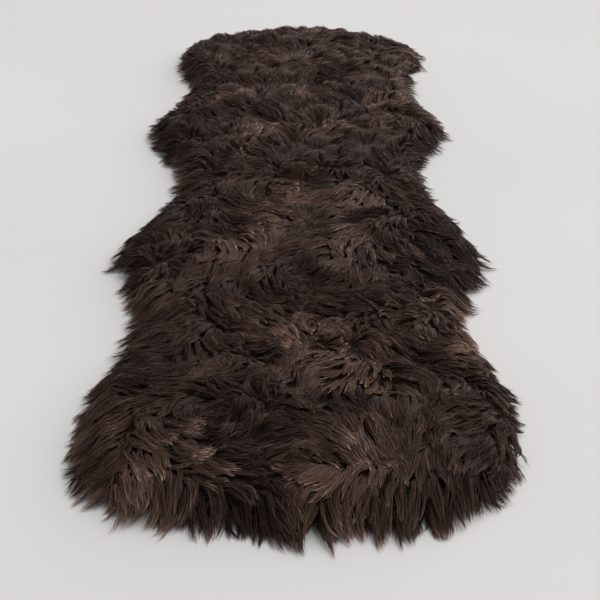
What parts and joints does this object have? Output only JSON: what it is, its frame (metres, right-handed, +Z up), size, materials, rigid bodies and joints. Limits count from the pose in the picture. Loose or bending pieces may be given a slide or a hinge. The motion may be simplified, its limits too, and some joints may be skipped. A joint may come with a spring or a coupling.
{
  "type": "double sheepskin rug",
  "caption": "Long-wool double sheepskin rug laid out flat with its wool up: pelts sewn end to end, with lobed edges, a lumpy fleece and locks round the rim.",
  "frame": {"origin": "on the floor, under the middle of the rug", "axes": "+Y along the rug, from the front pelt to the rear pelt; +Z up, out of the wool; +X to the right, seen from the front pelt's end"},
  "size_m": [0.7022, 1.8554, 0.0603],
  "materials": {
    "wool": "long dark brown wool, soft sheen",
    "hide": "matt brown suede underside"
  },
  "bodies": {
    "root": {"front_pelt": "wool", "rear_pelt": "wool"}
  },
  "joints": []
}
